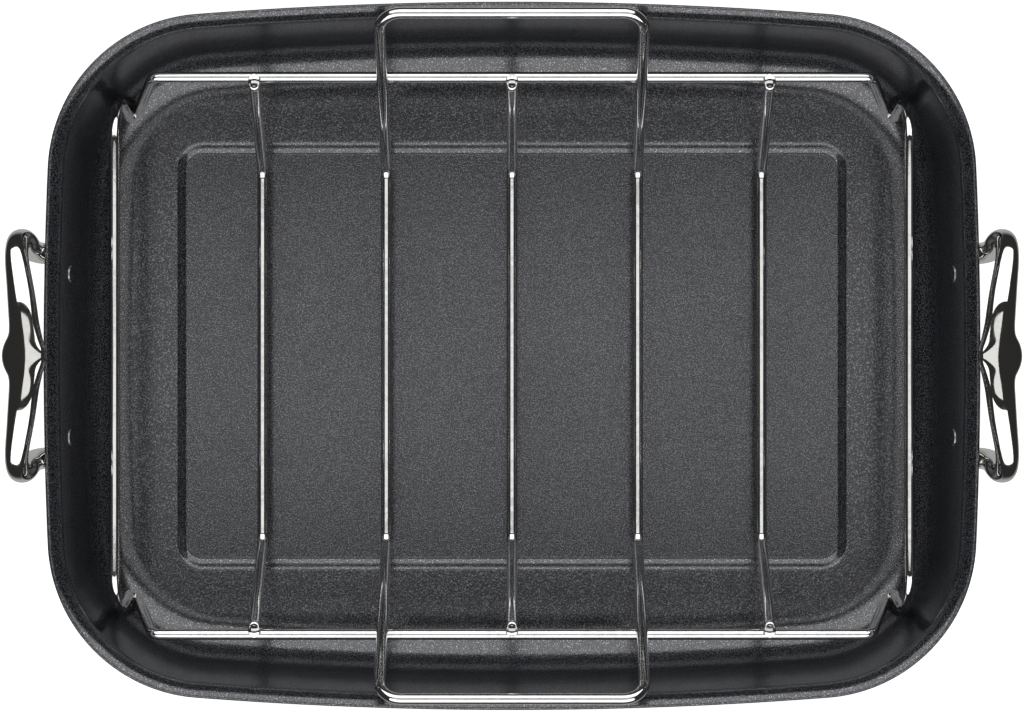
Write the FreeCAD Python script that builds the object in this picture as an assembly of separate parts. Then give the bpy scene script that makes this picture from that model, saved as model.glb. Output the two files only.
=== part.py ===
import FreeCAD, Part
import math
import os

from FreeCAD import Vector

# A roasting pan with two riveted handles and a lift-out wire rack. Lengths are millimetres, angles degrees.
# The origin is on the table under the pan's centre: +X to the right handle, +Y to the rear, +Z up.

# Pan: a drawn sheet whose four sides bow outwards, measured at the lip's outer edge
rim_length = 421.0
rim_width = 318.4
rim_height = 76.0
corner_radius = 72.0
long_side_bow_radius = 1836.0
short_side_bow_radius = 1942.0
sheet = 2.0
lip_radius = 9.5
lip_edge_slope = 26.0
wall_draft = 5.0
cove_radius = 20.0
panel_length = 316.6
panel_width = 201.4
panel_corner_radius = 12.0
panel_sink = 3.0
panel_step = 4.4

# Pan handles: upright castings, one on each short end wall, with feet just under the lip and arms outside it
handle_length = 112.5
foot_clearance = 1.05
arm_clearance = 1.15
handle_rise = 56.0
boss_width = 20.8
grip_width = 13.6
grip_thickness = 9.0
arm_width = 9.8
arm_thickness = 9.6
section_lean = 14.0
section_squareness = 0.86
section_points = 12
pad_length = 23.0
pad_width = 21.0
pad_thickness = 3.2
pad_corner_radius = 8.0
pad_edge_radius = 1.6
pad_shift = 4.2

# Rivets: flush on the inside of the wall, a formed head outside. The inset is from the handle's end,
# the drop from the middle of its foot.
rivet_inset = 18.85
rivet_drop = 5.0
rivet_shank_radius = 2.6
rivet_flush_radius = 3.7
rivet_flush_depth = 1.3
rivet_head_radius = 3.6
rivet_head_height = 2.0

# Rack: bent round wire
wire_radius = 2.5
seat_gap = 0.3
foot_inset = 20.0
foot_direction = 37.3
foot_span = 4.5
foot_skew = 29.7
foot_to_rail = 13.5
foot_to_rail_end = 14.3
foot_to_end_wire = 2.9
foot_to_leg_top = 7.0
foot_bend_radius = 2.6
leg_bend_radius = 18.0
rail_bend_radius = 4.5
rail_lift = 45.7
base_lift = 4.7
bar_slope = 50.0
bar_spacing = 117.1
bar_bend_radius = 8.0
bar_end_rise = 2.2
weld_set_down = 0.3
loop_width = 118.0
loop_rise = 18.2
loop_bend_radius = 10.0

# Every cut runs this far past the faces that it opens
overrun = 6.0

# Stations down half a pan handle, from the middle of the grip to the wall: shares of the half length, of the
# rise above the foot and of the reach from the wall; then the shares of the boss's and the arm's width, and
# the share of a right angle that the section's outer side has turned.
station_shares = (
    (0.000, 1.000, 0.686, 1.00, 0.00, 0.00),
    (0.080, 1.000, 0.680, 0.78, 0.00, 0.02),
    (0.160, 0.999, 0.663, 0.30, 0.00, 0.04),
    (0.250, 0.997, 0.686, 0.04, 0.05, 0.06),
    (0.420, 0.988, 0.765, 0.00, 0.25, 0.13),
    (0.640, 0.944, 0.913, 0.00, 0.60, 0.23),
    (0.830, 0.877, 1.060, 0.00, 0.90, 0.42),
    (0.955, 0.780, 1.104, 0.00, 1.00, 0.72),
    (1.000, 0.640, 1.046, 0.00, 1.00, 0.97),
    (0.970, 0.480, 0.967, 0.00, 1.00, 1.08),
    (0.932, 0.330, 0.944, 0.00, 1.00, 1.10),
    (0.908, 0.190, 0.796, 0.00, 1.00, 1.08),
    (0.900, 0.080, 0.479, 0.00, 1.00, 1.05),
    (0.898, 0.020, 0.092, 0.00, 1.00, 1.05),
    (0.898, 0.000, -0.170, 0.00, 1.00, 1.05),
)

half_length = rim_length / 2
half_width = rim_width / 2
rivet_spacing = handle_length - 2 * rivet_inset
draft = math.radians(wall_draft)
wall_normal = (math.cos(draft), math.sin(draft))
lip_slope = math.radians(lip_edge_slope)


# Sheet section: d runs inwards from the lip's outer edge, z up. The lip flares out to a rounded edge.
lip_middle = lip_radius - sheet / 2
lip_centre_d = sheet / 2 - lip_middle * math.sin(lip_slope)
lip_centre_z = rim_height - sheet / 2 - lip_middle * math.cos(lip_slope)
floor_z = panel_sink + sheet
cove_centre_z = floor_z + cove_radius
cove_reach = lip_radius + cove_radius - (cove_centre_z - lip_centre_z) * wall_normal[1]
cove_centre_d = lip_centre_d + cove_reach / wall_normal[0]


def wall_offset(z, thickness):
    """Distance from the lip's edge to the wall at a height; thickness 0 is the inner face."""
    across = lip_radius - thickness - (z - lip_centre_z) * wall_normal[1]
    return lip_centre_d + across / wall_normal[0]


# A handle's foot ends below the bend of the lip, and its arms pass outside the lip's edge
lip_bend_z = lip_centre_z + (lip_radius - sheet) * wall_normal[1]
foot_height = lip_bend_z - foot_clearance - pad_width / 2 * wall_normal[0]
handle_reach = wall_offset(foot_height, sheet) + arm_width / 2 + arm_clearance


# Rim outline: eight tangent arcs. Parallel outlines keep the same centres.
def meet_of_circles(centre_a, radius_a, centre_b, radius_b):
    """The meeting point of two circles that lies in the first quadrant."""
    gap = centre_b - centre_a
    along = (radius_a ** 2 - radius_b ** 2 + gap.Length ** 2) / (2 * gap.Length)
    aside = math.sqrt(radius_a ** 2 - along ** 2)
    unit = Vector(gap).normalize()
    side = Vector(-unit.y, unit.x, 0)
    if (unit * along + side * aside + centre_a).x < 0:
        side = -side
    return centre_a + unit * along + side * aside


rear_centre = Vector(0, half_width - long_side_bow_radius, 0)
right_centre = Vector(half_length - short_side_bow_radius, 0, 0)
corner_centre = meet_of_circles(
    rear_centre, long_side_bow_radius - corner_radius,
    right_centre, short_side_bow_radius - corner_radius)
rear_turn = math.atan2(corner_centre.y - rear_centre.y, corner_centre.x)
right_turn = math.atan2(corner_centre.y, corner_centre.x - right_centre.x)


def rim_arcs():
    """Centre, radius, start angle and end angle of each arc, anticlockwise from the right side."""
    centre = corner_centre
    return (
        (right_centre, short_side_bow_radius, -right_turn, right_turn),
        (centre, corner_radius, right_turn, rear_turn),
        (rear_centre, long_side_bow_radius, rear_turn, math.pi - rear_turn),
        (Vector(-centre.x, centre.y, 0), corner_radius, math.pi - rear_turn, math.pi - right_turn),
        (-right_centre, short_side_bow_radius, math.pi - right_turn, math.pi + right_turn),
        (-centre, corner_radius, math.pi + right_turn, math.pi + rear_turn),
        (-rear_centre, long_side_bow_radius, math.pi + rear_turn, 2 * math.pi - rear_turn),
        (Vector(centre.x, -centre.y, 0), corner_radius, 2 * math.pi - rear_turn, 2 * math.pi - right_turn),
    )


def polar(centre, radius, angle, z):
    return centre + Vector(radius * math.cos(angle), radius * math.sin(angle), z)


def arc_edge(first, middle, last):
    return Part.Arc(first, middle, last).toShape()


def line_edge(first, last):
    return Part.LineSegment(first, last).toShape()


def polygon_face(points):
    return Part.Face(Part.makePolygon(list(points) + [points[0]]))


def sheet_face(centre, radius, angle):
    """The section of lip, wall and cove, standing on one radius of a rim arc."""
    def at(d, z):
        return polar(centre, radius - d, angle, z)

    def on_lip(size, turn):
        return at(lip_centre_d + size * math.sin(turn), lip_centre_z + size * math.cos(turn))

    def on_cove(size, turn):
        return at(cove_centre_d - size * math.sin(turn), cove_centre_z - size * math.cos(turn))

    wall_turn = math.pi / 2 - draft
    under = lip_radius - sheet
    outer_cove = cove_radius + sheet
    flare_turn = (lip_slope + wall_turn) / 2
    edge_d = lip_centre_d + lip_middle * math.sin(lip_slope)
    edge_z = lip_centre_z + lip_middle * math.cos(lip_slope)
    edge_tip = at(edge_d - sheet / 2 * math.cos(lip_slope), edge_z + sheet / 2 * math.sin(lip_slope))
    edges = [
        arc_edge(on_lip(lip_radius, lip_slope), on_lip(lip_radius, flare_turn),
                 on_lip(lip_radius, wall_turn)),
        line_edge(on_lip(lip_radius, wall_turn), on_cove(cove_radius, wall_turn)),
        arc_edge(on_cove(cove_radius, wall_turn), on_cove(cove_radius, wall_turn / 2),
                 on_cove(cove_radius, 0)),
        line_edge(on_cove(cove_radius, 0), on_cove(outer_cove, 0)),
        arc_edge(on_cove(outer_cove, 0), on_cove(outer_cove, wall_turn / 2), on_cove(outer_cove, wall_turn)),
        line_edge(on_cove(outer_cove, wall_turn), on_lip(under, wall_turn)),
        arc_edge(on_lip(under, wall_turn), on_lip(under, flare_turn), on_lip(under, lip_slope)),
        arc_edge(on_lip(under, lip_slope), edge_tip, on_lip(lip_radius, lip_slope)),
    ]
    return Part.Face(Part.Wire(edges))


def floor_outline(inset, z):
    edges = []
    for centre, radius, start, end in rim_arcs():
        size = radius - inset
        points = [polar(centre, size, angle, z) for angle in (start, (start + end) / 2, end)]
        edges.append(arc_edge(*points))
    return Part.Wire(edges)


def rounded_rectangle(length, width, radius, place):
    """A rounded rectangle about the origin of a plane; place turns its two coordinates into a point."""
    far_x = length / 2
    far_y = width / 2
    diagonal = radius * (1 - math.sqrt(2) / 2)
    edges = []
    for sign_x, sign_y, first_on_side in ((1, 1, True), (-1, 1, False), (-1, -1, True), (1, -1, False)):
        side = place(sign_x * far_x, sign_y * (far_y - radius))
        middle = place(sign_x * (far_x - diagonal), sign_y * (far_y - diagonal))
        end = place(sign_x * (far_x - radius), sign_y * far_y)
        first, last = (side, end) if first_on_side else (end, side)
        if edges:
            edges.append(line_edge(previous, first))
        else:
            start = first
        edges.append(arc_edge(first, middle, last))
        previous = last
    edges.append(line_edge(previous, start))
    return Part.Wire(edges)


def panel_solid(top_z):
    """The sunk panel's form: the sloped step from the margin at top_z down to the panel."""
    def level(inset, z):
        return rounded_rectangle(
            panel_length - 2 * inset, panel_width - 2 * inset, panel_corner_radius - inset,
            lambda x, y: Vector(x, y, z))
    return Part.makeLoft([level(0, top_z), level(panel_step, top_z - panel_sink)], True, True)


def make_pan():
    pieces = []
    for centre, radius, start, end in rim_arcs():
        face = sheet_face(centre, radius, start)
        pieces.append(face.revolve(centre, Vector(0, 0, 1), math.degrees(end - start)))
    floor = Part.Face(floor_outline(cove_centre_d, panel_sink)).extrude(Vector(0, 0, sheet))
    floor = floor.fuse(panel_solid(panel_sink)).cut(panel_solid(floor_z))
    return floor.multiFuse(pieces).removeSplitter()


# Places on the right end wall
def wall_frame(y, z):
    """Point on the wall's inner face, its outward normal, the level direction along it and the upward one."""
    ring = short_side_bow_radius - wall_offset(z, 0)
    swing = math.asin(y / ring)
    point = polar(right_centre, ring, swing, z)
    outward = Vector(math.cos(swing) * wall_normal[0], math.sin(swing) * wall_normal[0], -wall_normal[1])
    along = Vector(-math.sin(swing), math.cos(swing), 0)
    return point, outward, along, outward.cross(along)


def wall_envelope():
    """What lies inside the outer face of the right end wall, over the handle's reach."""
    low = foot_height - pad_width / 2 - overrun
    high = foot_height + pad_width / 2 + overrun
    swing = math.asin((handle_length / 2 + overrun) / short_side_bow_radius)
    deep = wall_offset(low, sheet) + pad_thickness + overrun

    def at(d, z):
        return polar(right_centre, short_side_bow_radius - d, -swing, z)

    face = polygon_face((
        at(wall_offset(low, sheet), low), at(wall_offset(high, sheet), high), at(deep, high), at(deep, low)))
    return face.revolve(right_centre, Vector(0, 0, 1), math.degrees(2 * swing))


def handle_section(place, tangent, boss, arm, turn):
    """A closed smooth section: across is its radial direction, outer its side away from the finger gap."""
    lean = math.radians(section_lean)
    outer = Vector(math.sin(lean) * math.cos(turn), math.sin(turn), math.cos(lean) * math.cos(turn))
    outer = (outer - tangent * outer.dot(tangent)).normalize()
    across = tangent.cross(outer)
    width = grip_width + (boss_width - grip_width) * boss + (arm_width - grip_width) * arm
    thickness = grip_thickness + (arm_thickness - grip_thickness) * arm
    points = []
    for step in range(section_points):
        angle = 2 * math.pi * step / section_points
        cosine = math.copysign(abs(math.cos(angle)) ** section_squareness, math.cos(angle))
        sine = math.copysign(abs(math.sin(angle)) ** section_squareness, math.sin(angle))
        points.append(place + across * (width / 2 * cosine) + outer * (thickness / 2 * sine))
    curve = Part.BSplineCurve()
    curve.interpolate(Points=points, PeriodicFlag=True)
    return Part.Wire(curve.toShape())


def handle_bow():
    """The grip and both arms: sections along the bow of the handle, from foot to foot."""
    wall_x = wall_frame(0, foot_height)[0].x + sheet
    half_span = (handle_length - arm_thickness) / 2
    stations = []
    for side, rows in ((-1, station_shares[:0:-1]), (1, station_shares)):
        for along, rise, reach, boss, arm, turn in rows:
            place = Vector(
                wall_x + handle_reach * reach, side * half_span * along, foot_height + handle_rise * rise)
            stations.append((place, boss, arm, side * turn * math.pi / 2))
    path = Part.BSplineCurve()
    path.interpolate([row[0] for row in stations])
    sections = []
    for place, boss, arm, turn in stations:
        tangent = path.tangent(path.parameter(place))[0]
        sections.append(handle_section(place, tangent, boss, arm, turn))
    return Part.makeLoft(sections, True, False)


def handle_pad(side):
    """The oblong foot that lies on the wall, around the rivet and the arm's end."""
    point, outward, along, upward = wall_frame(side * (rivet_spacing / 2 + pad_shift), foot_height)
    wire = rounded_rectangle(
        pad_length, pad_width, pad_corner_radius, lambda x, y: point + along * x + upward * y)
    pad = Part.Face(wire).extrude(outward * (sheet + pad_thickness))
    front = max(pad.Faces, key=lambda face: face.CenterOfMass.dot(outward))
    return pad.makeFillet(pad_edge_radius, front.Edges)


def make_rivet(side):
    """Flush inner end, shank through wall and foot, formed outer head."""
    point, outward, along, _ = wall_frame(side * rivet_spacing / 2, foot_height - rivet_drop)
    seat = sheet + pad_thickness

    def at(radius, depth):
        return point + along * radius + outward * depth

    dome_radius = (rivet_head_radius ** 2 + rivet_head_height ** 2) / (2 * rivet_head_height)
    dome_depth = seat + rivet_head_height - dome_radius
    dome_turn = math.atan2(rivet_head_radius, dome_radius - rivet_head_height) / 2
    edges = [
        line_edge(at(0, 0), at(rivet_flush_radius, 0)),
        line_edge(at(rivet_flush_radius, 0), at(rivet_shank_radius, rivet_flush_depth)),
        line_edge(at(rivet_shank_radius, rivet_flush_depth), at(rivet_shank_radius, seat)),
        line_edge(at(rivet_shank_radius, seat), at(rivet_head_radius, seat)),
        arc_edge(at(rivet_head_radius, seat),
                 at(dome_radius * math.sin(dome_turn), dome_depth + dome_radius * math.cos(dome_turn)),
                 at(0, seat + rivet_head_height)),
        line_edge(at(0, seat + rivet_head_height), at(0, 0)),
    ]
    return Part.Face(Part.Wire(edges)).revolve(point, outward, 360)


def make_handle(rivets):
    bow = handle_bow()
    for side in (-1, 1):
        bow = bow.fuse(handle_pad(side))
    bow = bow.cut(wall_envelope())
    for rivet in rivets:
        bow = bow.cut(rivet)
    return bow


# Rack wire
def bent_tube(points, bend_radii):
    """A round wire along straight runs joined by tangent arcs; one bend radius per inner point."""
    edges = []
    start = points[0]
    for before, corner, after, radius in zip(points, points[1:], points[2:], bend_radii):
        into = (corner - before).normalize()
        away = (after - corner).normalize()
        turn = into.getAngle(away)
        reach = radius * math.tan(turn / 2)
        inward = (away - into).normalize()
        middle = corner + inward * (radius / math.cos(turn / 2) - radius)
        edges.append(line_edge(start, corner - into * reach))
        edges.append(arc_edge(corner - into * reach, middle, corner + away * reach))
        start = corner + away * reach
    edges.append(line_edge(start, points[-1]))
    section = Part.Circle(points[0], points[1] - points[0], wire_radius).toShape()
    return Part.Wire(edges).makePipe(Part.Face(Part.Wire(section)))


def mirrored(shape, normal):
    return shape.mirror(Vector(0, 0, 0), normal)


across_x = Vector(1, 0, 0)
across_y = Vector(0, 1, 0)


# A foot stands in each rounded corner of the pan, on the cove
foot_ring = corner_radius - foot_inset
foot_turn = math.radians(foot_direction)
foot_middle = corner_centre + Vector(foot_ring * math.cos(foot_turn), foot_ring * math.sin(foot_turn), 0)
foot_clear = cove_radius - wire_radius - seat_gap
foot_drop = math.sqrt(foot_clear ** 2 - (cove_centre_d - foot_inset) ** 2)
foot_z = cove_centre_z - foot_drop
foot_along = Vector(math.cos(math.radians(foot_skew)), -math.sin(math.radians(foot_skew)), 0)
rail_y = foot_middle.y + foot_to_rail
rail_z = foot_z + rail_lift
base_z = foot_z + base_lift

# The cross bars and the handle loop lie on the inner, upper side of the rails
slope = math.radians(bar_slope)
slope_along = Vector(0, math.cos(slope), math.sin(slope))
weld_gap = 2 * wire_radius - weld_set_down
base_y = rail_y - (weld_gap + math.cos(slope) * (rail_z - base_z)) / math.sin(slope)
weld_point = Vector(0, rail_y - weld_gap * math.sin(slope), rail_z + weld_gap * math.cos(slope))
loop_z = rim_height + loop_rise
loop_y = base_y + (loop_z - base_z) / math.tan(slope)


def make_rack_frame():
    inner = foot_middle - foot_along * (foot_span / 2) + Vector(0, 0, foot_z)
    outer = foot_middle + foot_along * (foot_span / 2) + Vector(0, 0, foot_z)
    points = [
        Vector(0, rail_y, rail_z),
        Vector(foot_middle.x - foot_to_rail_end, rail_y, rail_z),
        inner,
        outer,
        Vector(foot_middle.x + foot_to_end_wire, foot_middle.y + foot_to_leg_top, rail_z),
        Vector(foot_middle.x + foot_to_end_wire, 0, rail_z),
    ]
    quarter = bent_tube(points, (rail_bend_radius, foot_bend_radius, foot_bend_radius, leg_bend_radius))
    half = quarter.fuse(mirrored(quarter, across_x))
    return half.fuse(mirrored(half, across_y)).removeSplitter()


def make_handle_loop(frame):
    far_x = loop_width / 2
    points = [
        Vector(0, loop_y, loop_z),
        Vector(far_x, loop_y, loop_z),
        Vector(far_x, base_y, base_z),
        Vector(far_x, 0, base_z),
    ]
    quarter = bent_tube(points, (loop_bend_radius, bar_bend_radius))
    half = quarter.fuse(mirrored(quarter, across_x))
    return half.fuse(mirrored(half, across_y)).removeSplitter().cut(frame)


def make_bar(x, frame):
    """A bent bar whose ends are cut level, a little above the middle of their welds."""
    tip = weld_point + slope_along * ((bar_end_rise + overrun) / math.sin(slope) + wire_radius)
    half = bent_tube([Vector(0, 0, base_z), Vector(0, base_y, base_z), tip], (bar_bend_radius,))
    reach = wire_radius + overrun
    above = Part.makeBox(
        2 * reach, rim_width, rim_height, Vector(-reach, -half_width, weld_point.z + bar_end_rise))
    half = half.cut(above)
    bar = half.fuse(mirrored(half, across_y)).removeSplitter()
    bar.translate(Vector(x, 0, 0))
    return bar.cut(frame)


def save(name, shape):
    solids = len(shape.Solids)
    print(name, "solids", solids, "valid", shape.isValid(), "volume", round(shape.Volume, 1))
    shape.exportStep("parts/" + name + ".step")


os.makedirs("parts", exist_ok=True)

right_rivets = {"front": make_rivet(-1), "rear": make_rivet(1)}
left_rivets = {end: mirrored(rivet, across_x) for end, rivet in right_rivets.items()}
right_handle = make_handle(right_rivets.values())

pan = make_pan()
for rivet in list(right_rivets.values()) + list(left_rivets.values()):
    pan = pan.cut(rivet)

save("pan_body", pan)
save("right_handle", right_handle)
save("left_handle", mirrored(right_handle, across_x))
for end in ("rear", "front"):
    save("right_" + end + "_rivet", right_rivets[end])
    save("left_" + end + "_rivet", left_rivets[end])

rack_frame = make_rack_frame()
save("rack_frame", rack_frame)
save("rack_handle_loop", make_handle_loop(rack_frame))
for name, x in (("left", -bar_spacing), ("centre", 0), ("right", bar_spacing)):
    save("rack_" + name + "_bar", make_bar(x, rack_frame))
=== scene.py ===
import math

import bpy
import numpy as np
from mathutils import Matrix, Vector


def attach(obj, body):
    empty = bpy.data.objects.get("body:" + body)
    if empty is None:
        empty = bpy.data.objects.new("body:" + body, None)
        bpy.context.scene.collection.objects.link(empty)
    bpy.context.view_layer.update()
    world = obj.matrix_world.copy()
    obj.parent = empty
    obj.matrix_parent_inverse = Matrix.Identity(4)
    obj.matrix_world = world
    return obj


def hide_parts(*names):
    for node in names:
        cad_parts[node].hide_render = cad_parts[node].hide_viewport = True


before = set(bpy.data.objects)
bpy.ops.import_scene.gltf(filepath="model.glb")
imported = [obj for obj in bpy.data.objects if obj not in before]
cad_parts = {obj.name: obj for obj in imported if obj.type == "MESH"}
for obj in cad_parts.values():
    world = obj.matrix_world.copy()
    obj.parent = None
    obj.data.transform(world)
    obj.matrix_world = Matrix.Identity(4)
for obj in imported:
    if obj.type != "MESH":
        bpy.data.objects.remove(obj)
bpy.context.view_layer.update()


# Small vector helpers on whole arrays
def unit(vector):
    vector = np.asarray(vector, float)
    return vector / np.linalg.norm(vector, axis=-1, keepdims=True)


def span(first, last, count):
    return np.linspace(first, last, count)


# A grid of points, rows by columns, becomes a closed skin. Columns wrap round; rows wrap too on a ring, and
# otherwise each end is closed by a fan to its row's mean. Faces turn outwards: the signed volume is positive.
def skinFromGrid(name, grid, ring=False, run=None, girth=None, rowValues=None):
    rows, cols = grid.shape[:2]
    index = np.arange(rows * cols).reshape(rows, cols)
    lower = index if ring else index[:-1]
    upper = np.roll(index, -1, axis=0) if ring else index[1:]
    quads = np.stack([lower, upper, np.roll(upper, -1, 1), np.roll(lower, -1, 1)], -1).reshape(-1, 4)
    points = grid.reshape(-1, 3)
    fans = np.zeros((0, 3), int)
    if not ring:
        first, last = index[0], index[-1]
        points = np.concatenate([points, [grid[0].mean(0), grid[-1].mean(0)]])
        fans = np.concatenate([
            np.stack([np.full(cols, rows * cols), first, np.roll(first, -1)], -1),
            np.stack([np.full(cols, rows * cols + 1), np.roll(last, -1), last], -1)])
    triangles = np.concatenate([quads[:, [0, 1, 2]], quads[:, [0, 2, 3]], fans])
    a, b, c = points[triangles[:, 0]], points[triangles[:, 1]], points[triangles[:, 2]]
    insideOut = np.einsum("ij,ij->", a, np.cross(b, c)) < 0
    turn = slice(None, None, -1 if insideOut else 1)
    mesh = bpy.data.meshes.new(name)
    mesh.from_pydata(points, [], quads[:, turn].tolist() + fans[:, turn].tolist())
    if run is not None:  # metres round and along a wire
        around = np.arange(cols + 1) * girth / cols
        along = np.append(run, run[-1] + np.linalg.norm(grid[0, 0] - grid[-1, 0])) if ring else run
        step = np.indices(lower.shape).reshape(2, -1)
        u = around[np.stack([step[1], step[1], step[1] + 1, step[1] + 1], -1)]
        v = along[np.stack([step[0], step[0] + 1, step[0] + 1, step[0]], -1)]
        fanUv = np.zeros((len(fans), 3, 2))
        fanUv[:cols, :, 1] = along[0]
        fanUv[cols:, :, 1] = along[-1]
        corners = np.stack([u, v], -1)[:, turn].reshape(-1, 2)
        places = np.concatenate([corners, fanUv.reshape(-1, 2)]).astype(np.float32)
        mesh.uv_layers.new(name="wireRun").data.foreach_set("uv", places.ravel())
    if rowValues is not None:  # one value per row, for a finish that changes along the piece
        values = np.concatenate([np.repeat(rowValues, cols), [rowValues[0], rowValues[-1]]])
        mesh.attributes.new("coated", "FLOAT", "POINT").data.foreach_set("value", values.astype(np.float32))
    mesh.polygons.foreach_set("use_smooth", np.ones(len(mesh.polygons), bool))
    mesh.update()
    return mesh


def addPiece(mesh, material, body, slot, *nodes):
    piece = bpy.data.objects.new(mesh.name, mesh)
    bpy.context.scene.collection.objects.link(piece)
    mesh.materials.append(material)
    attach(piece, body)
    if nodes:
        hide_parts(*nodes)


# Shader helpers
def addNode(tree, kind, links=None, values=None, **settings):
    node = tree.nodes.new(kind)
    for key, value in settings.items():
        setattr(node, key, value)
    for socket, value in (values or {}).items():
        node.inputs[socket].default_value = value
    for socket, source in (links or {}).items():
        tree.links.new(source, node.inputs[socket])
    return node


def newGroup(name, inputs, outputs):
    tree = bpy.data.node_groups.new(name, "ShaderNodeTree")
    for label, kind in inputs:
        tree.interface.new_socket(name=label, in_out="INPUT", socket_type=kind)
    for label, kind in outputs:
        tree.interface.new_socket(name=label, in_out="OUTPUT", socket_type=kind)
    return tree, tree.nodes.new("NodeGroupInput"), tree.nodes.new("NodeGroupOutput")


def useGroup(tree, group, links=None, values=None):
    return addNode(tree, "ShaderNodeGroup", links, values, node_tree=group)


def ramp(tree, source, low, high, toLow=0.0, toHigh=1.0):
    return addNode(
        tree, "ShaderNodeMapRange", {"Value": source},
        {"From Min": low, "From Max": high, "To Min": toLow, "To Max": toHigh},
        interpolation_type="SMOOTHSTEP").outputs["Result"]


def newFinish(name):
    material = bpy.data.materials.new(name)
    material.use_nodes = True
    return material, material.node_tree, material.node_tree.nodes["Principled BSDF"]


# Blend of two colours by a mask; each colour is a constant or another node's output
def mixColour(tree, mask, low, high):
    node = addNode(tree, "ShaderNodeMix", {"Factor": mask}, data_type="RGBA")
    for socket, colour in ((6, low), (7, high)):
        if isinstance(colour, tuple):
            node.inputs[socket].default_value = colour
        else:
            tree.links.new(colour, node.inputs[socket])
    return node.outputs[2]


# What every finish of the part links to its shader
def linkFinish(tree, shader, colour, rough, bump):
    tree.links.new(colour, shader.inputs["Base Color"])
    tree.links.new(rough, shader.inputs["Roughness"])
    tree.links.new(bump.outputs["Normal"], shader.inputs["Normal"])


# Noise levels at which a flake or a pale grain starts and is full
grainLook = {"coarser": 0.6, "flakeLevels": (0.52, 0.80), "grainLevels": (0.30, 0.70)}


# Metal flakes in a baked coating: the peaks of a fine noise, over the softer mottle of another
def makeFlakeGroup():
    tree, entry, out = newGroup(
        "coatFlakes", [("Place", "NodeSocketVector"), ("Cells", "NodeSocketFloat")],
        [("Flake", "NodeSocketFloat"), ("Grain", "NodeSocketFloat")])
    place, cells = entry.outputs["Place"], entry.outputs["Cells"]
    fine = addNode(tree, "ShaderNodeTexNoise", {"Vector": place, "Scale": cells}, {"Detail": 0.0})
    coarse = addNode(
        tree, "ShaderNodeMath", {0: cells}, {1: grainLook["coarser"]}, operation="MULTIPLY").outputs[0]
    soft = addNode(tree, "ShaderNodeTexNoise", {"Vector": place, "Scale": coarse}, {"Detail": 1.0})
    tree.links.new(ramp(tree, fine.outputs["Fac"], *grainLook["flakeLevels"]), out.inputs["Flake"])
    tree.links.new(ramp(tree, soft.outputs["Fac"], *grainLook["grainLevels"]), out.inputs["Grain"])
    return tree


handledLook = {"finer": 7.0, "levels": (0.14, 0.38)}


# Handling marks: broad soft patches broken by a finer layer, as a mask from 0 to 1
def makeHandledGroup():
    tree, entry, out = newGroup(
        "handledPatches", [("Place", "NodeSocketVector"), ("Patches", "NodeSocketFloat")],
        [("Patch", "NodeSocketFloat")])
    place, patches = entry.outputs["Place"], entry.outputs["Patches"]
    broad = addNode(tree, "ShaderNodeTexNoise", {"Vector": place, "Scale": patches}, {"Detail": 1.0})
    finer = addNode(
        tree, "ShaderNodeMath", {0: patches}, {1: handledLook["finer"]}, operation="MULTIPLY").outputs[0]
    fine = addNode(tree, "ShaderNodeTexNoise", {"Vector": place, "Scale": finer}, {"Detail": 3.0})
    both = addNode(
        tree, "ShaderNodeMath", {0: broad.outputs["Fac"], 1: fine.outputs["Fac"]},
        operation="MULTIPLY").outputs[0]
    tree.links.new(ramp(tree, both, *handledLook["levels"]), out.inputs["Patch"])
    return tree


# Fine lines left by drawing or polishing: noise squeezed across the lines and stretched along them
def makeLineGroup():
    tree, entry, out = newGroup(
        "polishLines", [("Place", "NodeSocketVector"), ("Stretch", "NodeSocketVector")],
        [("Line", "NodeSocketFloat")])
    stretched = addNode(
        tree, "ShaderNodeVectorMath", {0: entry.outputs["Place"], 1: entry.outputs["Stretch"]},
        operation="MULTIPLY").outputs["Vector"]
    noise = addNode(tree, "ShaderNodeTexNoise", {"Vector": stretched}, {"Scale": 1.0, "Detail": 4.0})
    tree.links.new(noise.outputs["Fac"], out.inputs["Line"])
    return tree


flakeGroup, handledGroup, lineGroup = makeFlakeGroup(), makeHandledGroup(), makeLineGroup()


# Worn places of a finish, as a mask, and the roughness that goes with them
def wornLayer(tree, place, look):
    worn = useGroup(tree, handledGroup, {"Place": place}, {"Patches": look["patches"]}).outputs["Patch"]
    return worn, ramp(tree, worn, 0.0, 1.0, *look["roughness"])


coatingLook = {
    "cells": 1900.0,  # grains per metre
    "dark": (0.0018, 0.0020, 0.0026, 1.0),
    "pale": (0.0090, 0.0100, 0.0130, 1.0),
    "flake": (0.2600, 0.2700, 0.3000, 1.0),
    "patches": 14.0,
    "roughness": (0.17, 0.21),
    "index": 1.78,  # dense glassy binder
    "bumpStrength": 0.12,
    "bumpDistance": 0.00010,
}


# The coating's colour, roughness, metal share and height, for the pan and the coated faces of the rivets
def coatingLayer(tree, place):
    flakes = useGroup(tree, flakeGroup, {"Place": place}, {"Cells": coatingLook["cells"]})
    _, rough = wornLayer(tree, place, coatingLook)
    ground = mixColour(tree, flakes.outputs["Grain"], coatingLook["dark"], coatingLook["pale"])
    colour = mixColour(tree, flakes.outputs["Flake"], ground, coatingLook["flake"])
    return colour, rough, flakes.outputs["Flake"], flakes.outputs["Grain"]


def makeCoating():
    material, tree, shader = newFinish("panCoating")
    place = addNode(tree, "ShaderNodeTexCoord").outputs["Object"]
    colour, rough, flake, height = coatingLayer(tree, place)
    bump = addNode(
        tree, "ShaderNodeBump", {"Height": height},
        {"Strength": coatingLook["bumpStrength"], "Distance": coatingLook["bumpDistance"]})
    linkFinish(tree, shader, colour, rough, bump)
    tree.links.new(flake, shader.inputs["Metallic"])
    shader.inputs["IOR"].default_value = coatingLook["index"]
    return material


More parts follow.
